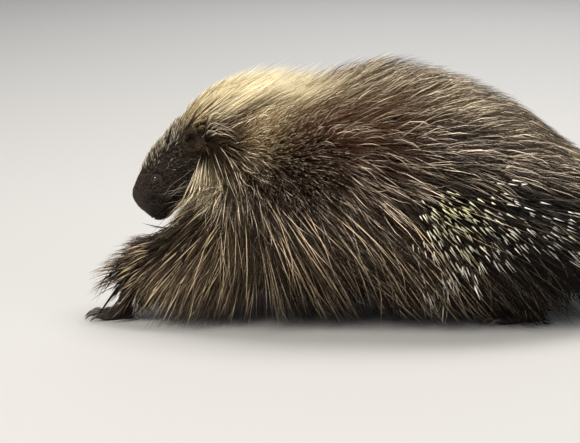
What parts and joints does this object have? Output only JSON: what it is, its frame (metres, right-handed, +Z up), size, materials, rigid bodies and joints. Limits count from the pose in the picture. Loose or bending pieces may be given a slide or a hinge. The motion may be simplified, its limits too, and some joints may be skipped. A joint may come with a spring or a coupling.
{
  "type": "porcupine figure",
  "caption": "Life-size still model of a porcupine walking with its head lowered and its left forefoot reaching forward, under a long coarse coat with quills.",
  "frame": {"origin": "middle of the floor under the whole animal", "axes": "+X towards the tail, so the head faces -X; +Y towards the animal's right side; +Z up"},
  "size_m": [0.8282, 0.3494, 0.3142],
  "materials": {
    "body_coat": "long coarse dark brown coat with yellowish tips, and pale quills with dark points over the rump",
    "leg_coat": "coarse dark brown hair",
    "tail_coat": "coarse dark hair and quills over the tail",
    "face": "short dark brown fur over skin, bare blue-grey nose",
    "ear": "small dark ears with fine hair",
    "eye": "glossy near-black eye",
    "sole": "dark pebbled pads and horn-coloured claws"
  },
  "bodies": {
    "root": {"head": "face", "ear_left": "ear", "ear_right": "ear", "eye_left": "eye", "eye_right": "eye", "neck": "body_coat", "torso": "body_coat", "tail": "tail_coat", "foreleg_left": "leg_coat", "foreleg_right": "leg_coat", "hindleg_left": "leg_coat", "hindleg_right": "leg_coat", "forefoot_left": "sole", "forefoot_right": "sole", "hindfoot_left": "sole", "hindfoot_right": "sole"}
  },
  "joints": []
}
